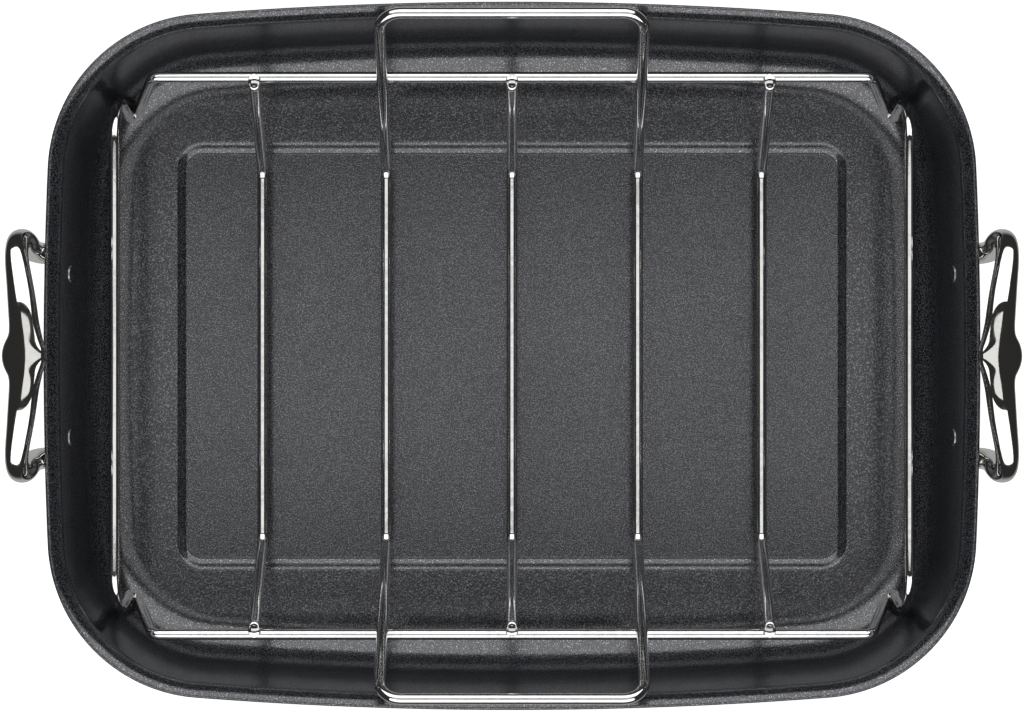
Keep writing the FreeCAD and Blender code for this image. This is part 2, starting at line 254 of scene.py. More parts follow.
castLook = {
    "colour": (0.74, 0.73, 0.70, 1.0),
    "worn": (0.70, 0.69, 0.665, 1.0),
    "patches": 60.0,
    "roughness": (0.04, 0.09),
    "waves": 55.0,  # polishing waves per metre
    "waveStrength": 0.25,
    "waveDistance": 0.0006,
    "lines": (2600.0, 220.0, 2600.0),  # polishing lines per metre
    "lineStrength": 0.06,
    "lineDistance": 0.00004,
}


def makeCastSteel():
    material, tree, shader = newFinish("castSteel")
    place = addNode(tree, "ShaderNodeTexCoord").outputs["Object"]
    worn, rough = wornLayer(tree, place, castLook)
    lines = useGroup(tree, lineGroup, {"Place": place}, {"Stretch": castLook["lines"]}).outputs["Line"]
    waves = addNode(
        tree, "ShaderNodeTexNoise", {"Vector": place}, {"Scale": castLook["waves"], "Detail": 0.0})
    wavy = addNode(
        tree, "ShaderNodeBump", {"Height": waves.outputs["Fac"]},
        {"Strength": castLook["waveStrength"], "Distance": castLook["waveDistance"]}).outputs["Normal"]
    fine = addNode(
        tree, "ShaderNodeBump", {"Height": lines, "Normal": wavy},
        {"Strength": castLook["lineStrength"], "Distance": castLook["lineDistance"]})
    linkFinish(tree, shader, mixColour(tree, worn, castLook["colour"], castLook["worn"]), rough, fine)
    shader.inputs["Metallic"].default_value = 1.0
    return material


wireLook = {
    "colour": (0.80, 0.795, 0.785, 1.0),
    "worn": (0.68, 0.675, 0.67, 1.0),
    "patches": 45.0,
    "roughness": (0.05, 0.12),
    "lines": (1500.0, 30.0, 0.0),  # drawing lines per metre, round the wire and along it
    "lineStrength": 0.02,
    "lineDistance": 0.00002,
}


def makeWireSteel():
    material, tree, shader = newFinish("wireSteel")
    place = addNode(tree, "ShaderNodeTexCoord").outputs["Object"]
    run = addNode(tree, "ShaderNodeUVMap", uv_map="wireRun").outputs["UV"]
    worn, rough = wornLayer(tree, place, wireLook)
    lines = useGroup(tree, lineGroup, {"Place": run}, {"Stretch": wireLook["lines"]}).outputs["Line"]
    drawn = addNode(
        tree, "ShaderNodeBump", {"Height": lines},
        {"Strength": wireLook["lineStrength"], "Distance": wireLook["lineDistance"]})
    linkFinish(tree, shader, mixColour(tree, worn, wireLook["colour"], wireLook["worn"]), rough, drawn)
    shader.inputs["Metallic"].default_value = 1.0
    return material


rivetLook = {
    "colour": (0.62, 0.615, 0.605, 1.0),
    "worn": (0.50, 0.495, 0.49, 1.0),
    "patches": 160.0,
    "roughness": (0.22, 0.38),
    "bumpStrength": 0.3,
    "bumpDistance": 0.00008,
}


# A rivet is bright outside. Its inner face is coated with the pan, apart from the worn edge of the face.
def makeRivetSteel():
    material, tree, shader = newFinish("rivetSteel")
    place = addNode(tree, "ShaderNodeTexCoord").outputs["Object"]
    coated = addNode(tree, "ShaderNodeAttribute", attribute_name="coated").outputs["Fac"]
    coat, coatRough, flake, height = coatingLayer(tree, place)
    worn, steelRough = wornLayer(tree, place, rivetLook)
    steel = mixColour(tree, worn, rivetLook["colour"], rivetLook["worn"])
    rough = addNode(tree, "ShaderNodeMix", {"Factor": coated, "A": steelRough, "B": coatRough})
    metal = addNode(tree, "ShaderNodeMix", {"Factor": coated, "B": flake}, {"A": 1.0})
    bump = addNode(
        tree, "ShaderNodeBump", {"Height": height},
        {"Strength": rivetLook["bumpStrength"], "Distance": rivetLook["bumpDistance"]})
    linkFinish(tree, shader, mixColour(tree, coated, steel, coat), rough.outputs["Result"], bump)
    tree.links.new(metal.outputs["Result"], shader.inputs["Metallic"])
    shader.inputs["IOR"].default_value = coatingLook["index"]
    return material


panCoating, castSteel = makeCoating(), makeCastSteel()
wireSteel, rivetSteel = makeWireSteel(), makeRivetSteel()
print("finishes:", len(bpy.data.node_groups), "shared effects,", len(bpy.data.materials), "materials")

# Pan, in metres
pan = {
    "rimLength": 0.421, "rimWidth": 0.3183, "rimHeight": 0.076,
    "cornerRadius": 0.072, "longBow": 1.836, "shortBow": 1.942,
    "sheet": 0.002, "lipRadius": 0.0095, "lipSlope": math.radians(26.0),
    "draft": math.radians(5.0), "coveRadius": 0.020,
    "panelLength": 0.3166, "panelWidth": 0.2014, "panelCorner": 0.012,
    "panelSink": 0.003, "panelStep": 0.0044, "panelSoften": 0.0006, "panelFoot": 0.0014, "panelBias": 1.45,
    "sideColumns": 40, "cornerColumns": 44, "stepRows": 25, "coveRows": 20, "lipRows": 18, "underRows": 14,
    "edgeRows": 9, "guard": 0.0006, "floorShares": (0.04, 0.25, 0.5, 0.75, 0.93),
    "ledgeShares": (0.0, 0.25, 0.5, 0.75, 1.0), "wallShares": (0.012, 0.2, 0.4, 0.6, 0.8, 0.988),
}
halfLength, halfWidth = pan["rimLength"] / 2, pan["rimWidth"] / 2
cosDraft, sinDraft = math.cos(pan["draft"]), math.sin(pan["draft"])

# Section of the sheet: d runs inwards from the lip's edge, z up
lipMiddle = pan["lipRadius"] - pan["sheet"] / 2
cosLip, sinLip = math.cos(pan["lipSlope"]), math.sin(pan["lipSlope"])
lipD = pan["sheet"] / 2 - lipMiddle * sinLip
lipZ = pan["rimHeight"] - pan["sheet"] / 2 - lipMiddle * cosLip
floorZ = pan["panelSink"] + pan["sheet"]
coveZ = floorZ + pan["coveRadius"]
coveD = lipD + (pan["lipRadius"] + pan["coveRadius"] - (coveZ - lipZ) * sinDraft) / cosDraft


def wallD(z, thickness):  # distance from the lip's edge to the wall at a height
    return lipD + (pan["lipRadius"] - thickness - (z - lipZ) * sinDraft) / cosDraft


# The long and short bows meet the corner arcs where both are tangent: the corner's centre is as far from
# each bow's centre as that bow's radius less the corner's
def cornerCentre():
    rear = np.array([0.0, halfWidth - pan["longBow"]])
    right = np.array([halfLength - pan["shortBow"], 0.0])
    a, b = pan["longBow"] - pan["cornerRadius"], pan["shortBow"] - pan["cornerRadius"]
    gap = right - rear
    reach = np.linalg.norm(gap)
    along = (a * a - b * b + reach * reach) / (2 * reach)
    aside = math.sqrt(a * a - along * along)
    forward = gap / reach
    across = np.array([-forward[1], forward[0]])
    meets = [rear + forward * along + across * aside * sign for sign in (1, -1)]
    return rear, right, max(meets, key=lambda point: point[0])


rearCentre, rightCentre, cornerPoint = cornerCentre()
rearTurn = math.atan2(cornerPoint[1] - rearCentre[1], cornerPoint[0])
rightTurn = math.atan2(cornerPoint[1], cornerPoint[0] - rightCentre[0])


# Eight arcs round the rim, as a centre, a radius and an angle for every column, and beside them the panel's
# rounded rectangle as a centre and an angle. A parallel outline keeps the centres and the angles.
def panColumns():
    cornerSigns = np.array([(1, 1), (-1, 1), (-1, -1), (1, -1)], float)
    panelCorner = cornerSigns * (
        np.array([pan["panelLength"], pan["panelWidth"]]) / 2 - pan["panelCorner"])
    sideCentre = [rearCentre, -rightCentre, -rearCentre, rightCentre]
    sideRadius = [pan["longBow"], pan["shortBow"], pan["longBow"], pan["shortBow"]]
    swings = [(rightTurn, rearTurn), (math.pi - rearTurn, math.pi - rightTurn),
              (math.pi + rightTurn, math.pi + rearTurn), (2 * math.pi - rearTurn, 2 * math.pi - rightTurn)]
    centres, radii, angles, panelCentres, panelAngles = [], [], [], [], []
    for quarter in range(4):
        share = np.arange(pan["cornerColumns"]) / pan["cornerColumns"]
        first, last = swings[quarter]
        centres.append(np.tile(cornerSigns[quarter] * cornerPoint, (len(share), 1)))
        radii.append(np.full(len(share), pan["cornerRadius"]))
        angles.append(first + (last - first) * share)
        panelCentres.append(np.tile(panelCorner[quarter], (len(share), 1)))
        panelAngles.append((quarter + share) * math.pi / 2)
        share = np.arange(pan["sideColumns"]) / pan["sideColumns"]
        following = swings[(quarter + 1) % 4][0] + (2 * math.pi if quarter == 3 else 0)
        centres.append(np.tile(sideCentre[quarter], (len(share), 1)))
        radii.append(np.full(len(share), sideRadius[quarter]))
        angles.append(last + (following - last) * share)
        gap = panelCorner[(quarter + 1) % 4] - panelCorner[quarter]
        panelCentres.append(panelCorner[quarter] + gap * share[:, None])
        panelAngles.append(np.full(len(share), (quarter + 1) * math.pi / 2))
    return [np.concatenate(part) for part in (centres, radii, angles, panelCentres, panelAngles)]


rimCentres, rimRadii, rimAngles, panelCentres, panelAngles = panColumns()


def outlineRows(centres, sizes, angles, z):  # a row of columns for each size, at that row's height
    flat = centres + sizes[..., None] * np.stack([np.cos(angles), np.sin(angles)], -1)
    return np.concatenate([flat, np.broadcast_to(np.asarray(z)[:, None, None], flat.shape[:2] + (1,))], -1)


def rimRows(d, z):  # outlines parallel to the rim, one row for each d
    return outlineRows(rimCentres, rimRadii - np.asarray(d)[:, None], rimAngles, z)


def panelRows(inset, z):  # outlines parallel to the panel's edge
    return outlineRows(panelCentres, pan["panelCorner"] - np.asarray(inset)[:, None], panelAngles, z)


# Floor rows from near the middle out to the cove: the flat panel shrunk towards its centre, the step as an
# S-shaped rise that is steepest near its top, and the level ledge as a straight blend from panel outline to
# rim outline
def floorRows(panelZ):
    ledgeZ = panelZ + pan["panelSink"]
    soft, guard = pan["panelSoften"], pan["guard"]
    foot = pan["panelStep"] + pan["panelFoot"]
    inner = panelRows([foot + guard], [panelZ])[0]
    shrink = np.array(pan["floorShares"])[:, None, None]
    flat = inner * np.array([1, 1, 0]) * shrink + np.array([0, 0, panelZ])
    share = span(0, 1, pan["stepRows"])
    bent = share ** pan["panelBias"]
    rise = bent * bent * (3 - 2 * bent)
    step = panelRows(foot - share * (foot + soft), panelZ + pan["panelSink"] * rise)
    start = panelRows([-soft - guard], [ledgeZ])
    end = rimRows([coveD + guard], [ledgeZ])
    blend = np.array(pan["ledgeShares"])[:, None, None]
    return np.concatenate([flat, inner[None], step, start + (end - start) * blend])


def coveRows(size, count):
    turn = span(0, math.pi / 2 - pan["draft"], count)
    return rimRows(coveD - size * np.sin(turn), coveZ - size * np.cos(turn))


def lipRows(size, count):
    turn = span(math.pi / 2 - pan["draft"], pan["lipSlope"], count)
    return rimRows(lipD + size * np.sin(turn), lipZ + size * np.cos(turn))


def wallRows(first, last):  # guard rows close to both ends keep the flat's shading flat
    return first + (last - first) * np.array(pan["wallShares"])[:, None, None]


def makePan():
    under = pan["lipRadius"] - pan["sheet"]
    outer = pan["coveRadius"] + pan["sheet"]
    topCove = coveRows(pan["coveRadius"], pan["coveRows"])
    topLip = lipRows(pan["lipRadius"], pan["lipRows"])
    lowCove, lowLip = coveRows(outer, pan["underRows"]), lipRows(under, pan["underRows"])
    swing = span(0, math.pi, pan["edgeRows"])[1:-1]
    half = pan["sheet"] / 2
    edge = rimRows(
        lipD + lipMiddle * sinLip + half * (np.cos(swing) * sinLip - np.sin(swing) * cosLip),
        lipZ + lipMiddle * cosLip + half * (np.cos(swing) * cosLip + np.sin(swing) * sinLip))
    grid = np.concatenate([
        floorRows(pan["sheet"]), topCove, wallRows(topCove[-1], topLip[0]), topLip, edge,
        lowLip[::-1], wallRows(lowLip[0], lowCove[-1]), lowCove[::-1], floorRows(0.0)[::-1]])
    return skinFromGrid("panShell", grid)


addPiece(makePan(), panCoating, "pan", "pan_coating", "pan_body")
print("pan shell done")


# Places on the right end wall: a point of its inner face, the outward, level and upward directions
def wallFrame(y, z):
    ring = pan["shortBow"] - wallD(z, 0.0)
    swing = math.asin(y / ring)
    point = np.array([rightCentre[0] + ring * math.cos(swing), ring * math.sin(swing), z])
    outward = np.array([math.cos(swing) * cosDraft, math.sin(swing) * cosDraft, -sinDraft])
    level = np.array([-math.sin(swing), math.cos(swing), 0.0])
    return point, outward, level, np.cross(outward, level)


# Pan handles, in metres. A station row gives shares of the half length, the rise and the reach, the shares of
# the boss's and the arm's width, and the share of a right angle that the section has turned.
handle = {
    "length": 0.1125, "footHeight": 0.0565, "rise": 0.056, "reach": 0.0118,
    "bossWidth": 0.0206, "gripWidth": 0.0136, "gripThickness": 0.009,
    "armWidth": 0.0098, "armThickness": 0.0096, "squareness": 0.86, "lean": math.radians(14.0),
    "padLength": 0.023, "padWidth": 0.021, "padThickness": 0.0032, "padCorner": 0.008,
    "padEdge": 0.0016, "padShift": 0.0042, "footFillet": 0.0026, "sunk": 0.0003,
    "columns": 56, "rows": 110, "searchRows": 700, "searchTail": 250, "nudge": 1e-6,
    "filletShare": 0.8, "filletRows": 9, "faceShares": (0.06, 0.5, 0.94), "edgeRows": 8,
    "sideShares": (0.08, 0.5), "padCornerPoints": 40, "padSidePoints": 60,
    "stations": (
        (0.000, 1.000, 0.686, 1.00, 0.00, 0.00),
        (0.080, 1.000, 0.680, 0.78, 0.00, 0.02),
        (0.160, 0.999, 0.663, 0.30, 0.00, 0.04),
        (0.250, 0.999, 0.686, 0.04, 0.05, 0.06),
        (0.420, 0.992, 0.765, 0.00, 0.25, 0.13),
        (0.640, 0.944, 0.913, 0.00, 0.60, 0.23),
        (0.830, 0.877, 1.060, 0.00, 0.90, 0.42),
        (0.955, 0.780, 1.104, 0.00, 1.00, 0.72),
        (1.000, 0.640, 1.046, 0.00, 1.00, 0.97),
        (0.970, 0.480, 0.967, 0.00, 1.00, 1.08),
        (0.932, 0.330, 0.944, 0.00, 1.00, 1.10),
        (0.908, 0.190, 0.796, 0.00, 1.00, 1.08),
        (0.900, 0.080, 0.479, 0.00, 1.00, 1.05),
        (0.898, 0.020, 0.092, 0.00, 1.00, 1.05),
        (0.898, 0.000, -0.170, 0.00, 1.00, 1.05),
    ),
}
rivet = {
    "inset": 0.01885, "drop": 0.005, "face": 0.0039, "proud": 0.0005, "bareEdge": 0.0003,
    "sinkStart": 0.0004, "sinkEnd": 0.0012, "shank": 0.0026, "head": 0.0036, "headHeight": 0.002,
    "headSunk": 0.0003, "crownShares": (0.2, 0.55, 0.9), "faceRows": 8, "headRows": 14, "tipAngle": 0.02,
    "columns": 40,
}
rivetOut = handle["length"] / 2 - rivet["inset"]


# Natural cubic spline: the second slopes at the knots solve one band of equations, and each stretch is the
# cubic between its two knots that has those second slopes
def splineThrough(knots, values, at):
    gaps = np.diff(knots)
    count = len(knots)
    band = np.eye(count)
    inner = np.arange(1, count - 1)
    band[inner, inner - 1] = gaps[:-1]
    band[inner, inner] = 2 * (gaps[:-1] + gaps[1:])
    band[inner, inner + 1] = gaps[1:]
    slopes = np.diff(values, axis=0) / gaps[:, None]
    right = np.zeros_like(values)
    right[1:-1] = 6 * np.diff(slopes, axis=0)
    bend = np.linalg.solve(band, right)
    k = np.clip(np.searchsorted(knots, at, side="right") - 1, 0, count - 2)
    t, g = (at - knots[k])[:, None], gaps[k][:, None]
    lead = slopes[k] - g * (2 * bend[k] + bend[k + 1]) / 6
    return values[k] + t * lead + t ** 2 * bend[k] / 2 + t ** 3 * (bend[k + 1] - bend[k]) / (6 * g)


# Distance from a point of the foot's plane to its rounded-rectangle edge, for each direction angle
def padReach(inset, fromPoint, directions):
    corner = handle["padCorner"] - inset
    share = span(0, 1, handle["padSidePoints"])[:-1]
    signs = np.array([(1, 1), (-1, 1), (-1, -1), (1, -1)], float)
    middle = signs * (np.array([handle["padLength"], handle["padWidth"]]) / 2 - handle["padCorner"])
    angle = (np.arange(4)[:, None] + span(0, 1, handle["padCornerPoints"])) * math.pi / 2
    arcs = middle[:, None] + corner * np.stack([np.cos(angle), np.sin(angle)], -1)
    sides = arcs[:, -1:] + (np.roll(arcs, -1, 0)[:, :1] - arcs[:, -1:]) * share[None, 1:, None]
    outline = np.concatenate([arcs, sides], 1).reshape(-1, 2) - fromPoint
    turn = np.arctan2(outline[:, 1], outline[:, 0])
    order = np.argsort(turn)
    return np.interp(directions, turn[order], np.linalg.norm(outline, axis=1)[order], period=2 * math.pi)


# Half a handle, from the middle of its grip to its foot: a squarish oval carried along the bow, then a fillet
# on to the foot's face, the face, its rounded edge and its side down into the wall. It is mirrored for the
# other half.
def handleGrid():
    shares = np.array(handle["stations"])
    wallX = wallFrame(0.0, handle["footHeight"])[0][0] + pan["sheet"]
    halfSpan = (handle["length"] - handle["armThickness"]) / 2
    places = np.stack([
        wallX + handle["reach"] * shares[:, 2], halfSpan * shares[:, 0],
        handle["footHeight"] + handle["rise"] * shares[:, 1]], -1)
    half = np.concatenate([places, shares[:, 3:]], 1)
    mirror = half[:0:-1] * np.array([1, -1, 1, 1, 1, -1])
    whole = np.concatenate([mirror, half])
    knots = np.append(0, np.cumsum(np.linalg.norm(np.diff(whole[:, :3], axis=0), axis=1)))
    middle = knots[len(mirror)]
    at = span(middle, knots[-1], handle["searchRows"])
    dense = splineThrough(knots, whole, at)
    point, outward, level, upward = wallFrame(rivetOut + handle["padShift"], handle["footHeight"])
    facePoint = point + outward * (pan["sheet"] + handle["padThickness"])
    height = (dense[:, :3] - facePoint) @ outward
    tail = slice(-handle["searchTail"], None)
    stop = np.interp(0.0, (handle["footFillet"] - height)[tail], at[tail])
    at = span(middle, stop, handle["rows"])
    rows = splineThrough(knots, whole, at)
    behind, ahead = (splineThrough(knots, whole, at + side * handle["nudge"])[:, :3] for side in (-1, 1))
    tangent = unit(ahead - behind)
    turn = rows[:, 5] * math.pi / 2
    cosLean, sinLean = math.cos(handle["lean"]), math.sin(handle["lean"])
    outer = np.stack([sinLean * np.cos(turn), np.sin(turn), cosLean * np.cos(turn)], -1)
    outer = unit(outer - tangent * np.einsum("ij,ij->i", outer, tangent)[:, None])
    across = np.cross(tangent, outer)
    boss, arm = np.clip(rows[:, 3], 0, 1), np.clip(rows[:, 4], 0, 1)
    width = handle["gripWidth"] + (handle["bossWidth"] - handle["gripWidth"]) * boss
    width = width + (handle["armWidth"] - handle["gripWidth"]) * arm
    thick = handle["gripThickness"] + (handle["armThickness"] - handle["gripThickness"]) * arm
    angle = 2 * math.pi * np.arange(handle["columns"]) / handle["columns"]
    wide = np.copysign(np.abs(np.cos(angle)) ** handle["squareness"], np.cos(angle)) / 2
    tall = np.copysign(np.abs(np.sin(angle)) ** handle["squareness"], np.sin(angle)) / 2
    sweep = rows[:, None, :3] + (width[:, None] * wide)[..., None] * across[:, None]
    sweep = sweep + (thick[:, None] * tall)[..., None] * outer[:, None]

    last = sweep[-1]
    flat = np.stack([(last - facePoint) @ level, (last - facePoint) @ upward], -1)
    lift = (last - facePoint) @ outward
    centre = flat.mean(0)
    direction = np.arctan2(*(flat - centre).T[::-1])
    ray = np.stack([np.cos(direction), np.sin(direction)], -1)
    armReach = np.linalg.norm(flat - centre, axis=1)
    edge = handle["padEdge"]
    faceReach = padReach(edge, centre, direction)
    fillet = np.minimum(handle["footFillet"], handle["filletShare"] * (faceReach - armReach))

    def onFoot(reach, depth):  # a row in the foot's plane, depth measured from its face towards the wall
        spot = centre + ray * reach[:, None]
        return facePoint + spot[:, :1] * level + spot[:, 1:] * upward - np.reshape(depth, (-1, 1)) * outward

    foot = [onFoot(armReach + fillet * (1 - math.cos(a)), -lift * (1 - math.sin(a)))
            for a in span(0, math.pi / 2, handle["filletRows"])[1:]]
    inner = armReach + fillet
    foot += [onFoot(inner + (faceReach - inner) * share, 0.0) for share in handle["faceShares"]]
    foot += [onFoot(padReach(edge * (1 - math.sin(a)), centre, direction), edge * (1 - math.cos(a)))
             for a in span(0, math.pi / 2, handle["edgeRows"])]
    rim = padReach(0.0, centre, direction)
    depth = handle["padThickness"]
    foot += [onFoot(rim, edge + (depth - edge) * share) for share in handle["sideShares"]]
    foot += [onFoot(rim, depth + handle["sunk"])]
    halfGrid = np.concatenate([sweep, np.array(foot)])
    return np.concatenate([halfGrid[:0:-1] * np.array([1, -1, 1]), halfGrid])


rightGrip = handleGrid()
toLeft = np.array([-1, 1, 1])
addPiece(skinFromGrid("rightGrip", rightGrip), castSteel, "pan", "cast_steel", "right_handle")
addPiece(skinFromGrid("leftGrip", rightGrip * toLeft), castSteel, "pan", "cast_steel", "left_handle")
print("handles done")


# A rivet turned about the wall's normal: a low coated face with a worn, rounded edge, the countersunk cone,
# the shank, and a rounded head outside. The mask is 1 on the coated rows.
def rivetGrid(side):
    point, outward, level, upward = wallFrame(side * rivetOut, handle["footHeight"] - rivet["drop"])
    seat = pan["sheet"] + handle["padThickness"]
    proud = rivet["proud"]
    flat = rivet["face"] - proud
    crown = np.array([(flat * share, -proud) for share in rivet["crownShares"]])
    turn = span(0, math.pi / 2, rivet["faceRows"])
    face = np.stack([flat + proud * np.sin(turn), -proud * np.cos(turn)], -1)
    collar = seat - rivet["headSunk"]
    shank = np.array([
        (rivet["face"], rivet["sinkStart"]), (rivet["shank"], rivet["sinkEnd"]),
        (rivet["shank"], collar), (rivet["head"], collar), (rivet["head"], seat)])
    dome = (rivet["head"] ** 2 + rivet["headHeight"] ** 2) / (2 * rivet["headHeight"])
    sweep = span(math.atan2(rivet["head"], dome - rivet["headHeight"]), rivet["tipAngle"], rivet["headRows"])
    head = np.stack([dome * np.sin(sweep), seat + rivet["headHeight"] - dome + dome * np.cos(sweep)], -1)
    profile = np.concatenate([crown, face, shank, head])
    angle = 2 * math.pi * np.arange(rivet["columns"]) / rivet["columns"]
    ring = np.cos(angle)[:, None] * level + np.sin(angle)[:, None] * upward
    grid = point + profile[:, :1, None] * ring + profile[:, 1:, None] * outward
    coated = (profile[:, 1] < rivet["sinkEnd"]) & (profile[:, 0] < rivet["face"] - rivet["bareEdge"])
    return grid, coated.astype(float)


for end, side in (("Rear", 1), ("Front", -1)):
    spots, coated = rivetGrid(side)
    for flank, flip in (("right", np.ones(3)), ("left", toLeft)):
        addPiece(skinFromGrid(flank + end + "Rivet", spots * flip, rowValues=coated), rivetSteel,
                 "pan", "rivet_steel", flank + "_" + end.lower() + "_rivet")
print("rivets done")

# Rack, in metres: one bent frame on four feet, a handle loop and three cross bars, all of one wire
rack = {
    "wire": 0.0025, "seatGap": 0.0003, "footInset": 0.020, "footDirection": math.radians(37.3),
    "footSpan": 0.0045, "footSkew": math.radians(29.7), "footToRail": 0.0135, "footToRailEnd": 0.0143,
    "footToEndWire": 0.0029, "footToLegTop": 0.0070, "railLift": 0.0457, "baseLift": 0.0047,
    "frameBends": (0.0045, 0.0026, 0.0026, 0.018), "slope": math.radians(50.0), "setDown": 0.0003,
    "columns": 32, "bendRows": 14, "guard": 0.0012,
}
loop = {"width": 0.118, "rise": 0.0182, "bends": (0.010, 0.008)}
bar = {
    "spacing": 0.1171, "bend": 0.008, "endRise": 0.0022, "endRadius": 0.0028, "endRound": 0.0005,
    "endDome": 0.0005, "swellLength": 0.0016, "swellRows": 6, "roundRows": 7, "faceRows": 7,
}
weld = {"aside": 0.0017, "wide": 0.0013, "long": 0.0016, "thick": 0.0009, "rows": 11, "columns": 18}

ringSize = pan["cornerRadius"] - rack["footInset"]
footX = cornerPoint[0] + ringSize * math.cos(rack["footDirection"])
footY = cornerPoint[1] + ringSize * math.sin(rack["footDirection"])
clear = pan["coveRadius"] - rack["wire"] - rack["seatGap"]
footZ = coveZ - math.sqrt(clear ** 2 - (coveD - rack["footInset"]) ** 2)
railY, railZ, baseZ = footY + rack["footToRail"], footZ + rack["railLift"], footZ + rack["baseLift"]
cosSlope, sinSlope = math.cos(rack["slope"]), math.sin(rack["slope"])
weldGap = 2 * rack["wire"] - rack["setDown"]
baseY = railY - (weldGap + cosSlope * (railZ - baseZ)) / sinSlope
weldY, weldZ = railY - weldGap * sinSlope, railZ + weldGap * cosSlope


# Straight runs joined by tangent arcs. A bend starts radius * tan(turn / 2) before its corner and swings
# about its centre; a side vector swings with it, so the skin round the wire doesn't twist on the way.
def bentWire(corners, bends, closed):
    corners = np.array(corners, float)
    count = len(corners)
    spots, tangents, sides = [], [], []
    side = None
    for k, radius in zip(range(count) if closed else range(1, count - 1), bends):
        into, away = unit(corners[k] - corners[k - 1]), unit(corners[(k + 1) % count] - corners[k])
        turn = math.acos(np.clip(into @ away, -1, 1))
        inner = unit(away - into * (into @ away))
        axis = np.cross(into, inner)
        side = axis if side is None else side
        along = span(0, turn, rack["bendRows"])[:, None]
        first = corners[k] - into * radius * math.tan(turn / 2)
        arc = first + radius * (np.sin(along) * into + (1 - np.cos(along)) * inner)
        heading = np.cos(along) * into + np.sin(along) * inner
        swung = (side @ inner) * (np.cos(along) * inner - np.sin(along) * into) + (side @ axis) * axis
        guard = rack["guard"]
        spots += [first[None] - into * guard, arc, arc[-1:] + away * guard]
        tangents += [heading[:1], heading, heading[-1:]]
        sides += [swung[:1], swung, swung[-1:]]
        side = swung[-1]
    spots, tangents, sides = (np.concatenate(part) for part in (spots, tangents, sides))
    run = np.append(0, np.cumsum(np.linalg.norm(np.diff(spots, axis=0), axis=1)))
    if closed:  # what is left to turn at the seam is spread along the whole ring
        left = math.atan2(np.cross(side, sides[0]) @ tangents[0], side @ sides[0])
        spread = (left * run / (run[-1] + np.linalg.norm(spots[0] - spots[-1])))[:, None]
        sides = np.cos(spread) * sides + np.sin(spread) * np.cross(tangents, sides)
    return spots, tangents, sides, run


# Round skin: each row is a circle of that row's radius, in the plane across the wire
def tubeGrid(spots, tangents, sides, radii):
    angle = 2 * math.pi * np.arange(rack["columns"]) / rack["columns"]
    other = np.cross(tangents, sides)
    circle = np.cos(angle)[None, :, None] * sides[:, None] + np.sin(angle)[None, :, None] * other[:, None]
    return spots[:, None] + np.reshape(radii, (-1, 1, 1)) * circle


# A quarter of a ring of corners, rear right, repeated by mirroring in both planes
def fourQuarters(quarter, bends):
    quarter = np.array(quarter)
    turns = [quarter, quarter[::-1] * (1, -1, 1), quarter * (-1, -1, 1), quarter[::-1] * (-1, 1, 1)]
    return np.concatenate(turns), list(bends) + list(bends[::-1]) + list(bends) + list(bends[::-1])


girth = 2 * math.pi * rack["wire"]
skew = np.array([math.cos(rack["footSkew"]), -math.sin(rack["footSkew"]), 0.0]) * rack["footSpan"] / 2
footMiddle = np.array([footX, footY, footZ])
frameQuarter = [
    (footX - rack["footToRailEnd"], railY, railZ), footMiddle - skew, footMiddle + skew,
    (footX + rack["footToEndWire"], footY + rack["footToLegTop"], railZ)]
spots, tangents, sides, run = bentWire(*fourQuarters(frameQuarter, rack["frameBends"]), True)
grid = tubeGrid(spots, tangents, sides, np.full(len(run), rack["wire"]))
addPiece(skinFromGrid("rackFrameWire", grid, ring=True, run=run, girth=girth), wireSteel,
         "rack", "wire_steel", "rack_frame")

loopZ = pan["rimHeight"] + loop["rise"]
loopY = baseY + (loopZ - baseZ) * cosSlope / sinSlope
loopQuarter = [(loop["width"] / 2, loopY, loopZ), (loop["width"] / 2, baseY, baseZ)]
spots, tangents, sides, run = bentWire(*fourQuarters(loopQuarter, loop["bends"]), True)
grid = tubeGrid(spots, tangents, sides, np.full(len(run), rack["wire"]))
addPiece(skinFromGrid("handleLoopWire", grid, ring=True, run=run, girth=girth), wireSteel,
         "rack", "wire_steel", "rack_handle_loop")


# A cross bar: the bent wire with its ends upset a little and cut level. Each point of an end row slides along
# the bar until it is at the row's height, so the cut is an oval; the rows widen, follow a small rounded edge
# and then close over a low dome.
def barGrid():
    mirror = np.array([1, -1, 1])
    rise = bar["endRise"] * np.array([0.0, cosSlope / sinSlope, 1.0])
    base, tip = np.array([0.0, baseY, baseZ]), np.array([0.0, weldY, weldZ]) + rise
    spots, tangents, sides, _ = bentWire([tip * mirror, base * mirror, base, tip], (bar["bend"],) * 2, False)
    soft, end, dome = bar["endRound"], bar["endRadius"], bar["endDome"]
    face = span(1, 0, bar["faceRows"])[1:-1]
    turn = span(math.pi / 2, 0, bar["roundRows"])
    swell = span(0, 1, bar["swellRows"])
    ease = swell * swell * (3 - 2 * swell)
    radius = np.concatenate([
        rack["wire"] + (end - rack["wire"]) * ease, end - soft + soft * np.sin(turn)[1:],
        (end - soft) * face])
    depth = np.concatenate([
        soft + bar["swellLength"] * (1 - swell) + dome, soft * (1 - np.cos(turn))[1:] + dome,
        dome * face * face])

    def endRows(place, k):
        rows = tubeGrid(*(np.tile(part, (len(radius), 1)) for part in (place, tangents[k], sides[k])), radius)
        slide = (place[2] - depth[:, None] - rows[..., 2]) / tangents[k][2]
        return rows + slide[..., None] * tangents[k]

    middle = tubeGrid(spots, tangents, sides, np.full(len(spots), rack["wire"]))
    grid = np.concatenate([endRows(tip * mirror, 0)[::-1], middle, endRows(tip, -1)])
    length = np.append(0, np.cumsum(np.linalg.norm(np.diff(grid.mean(1), axis=0), axis=1)))
    return grid, length


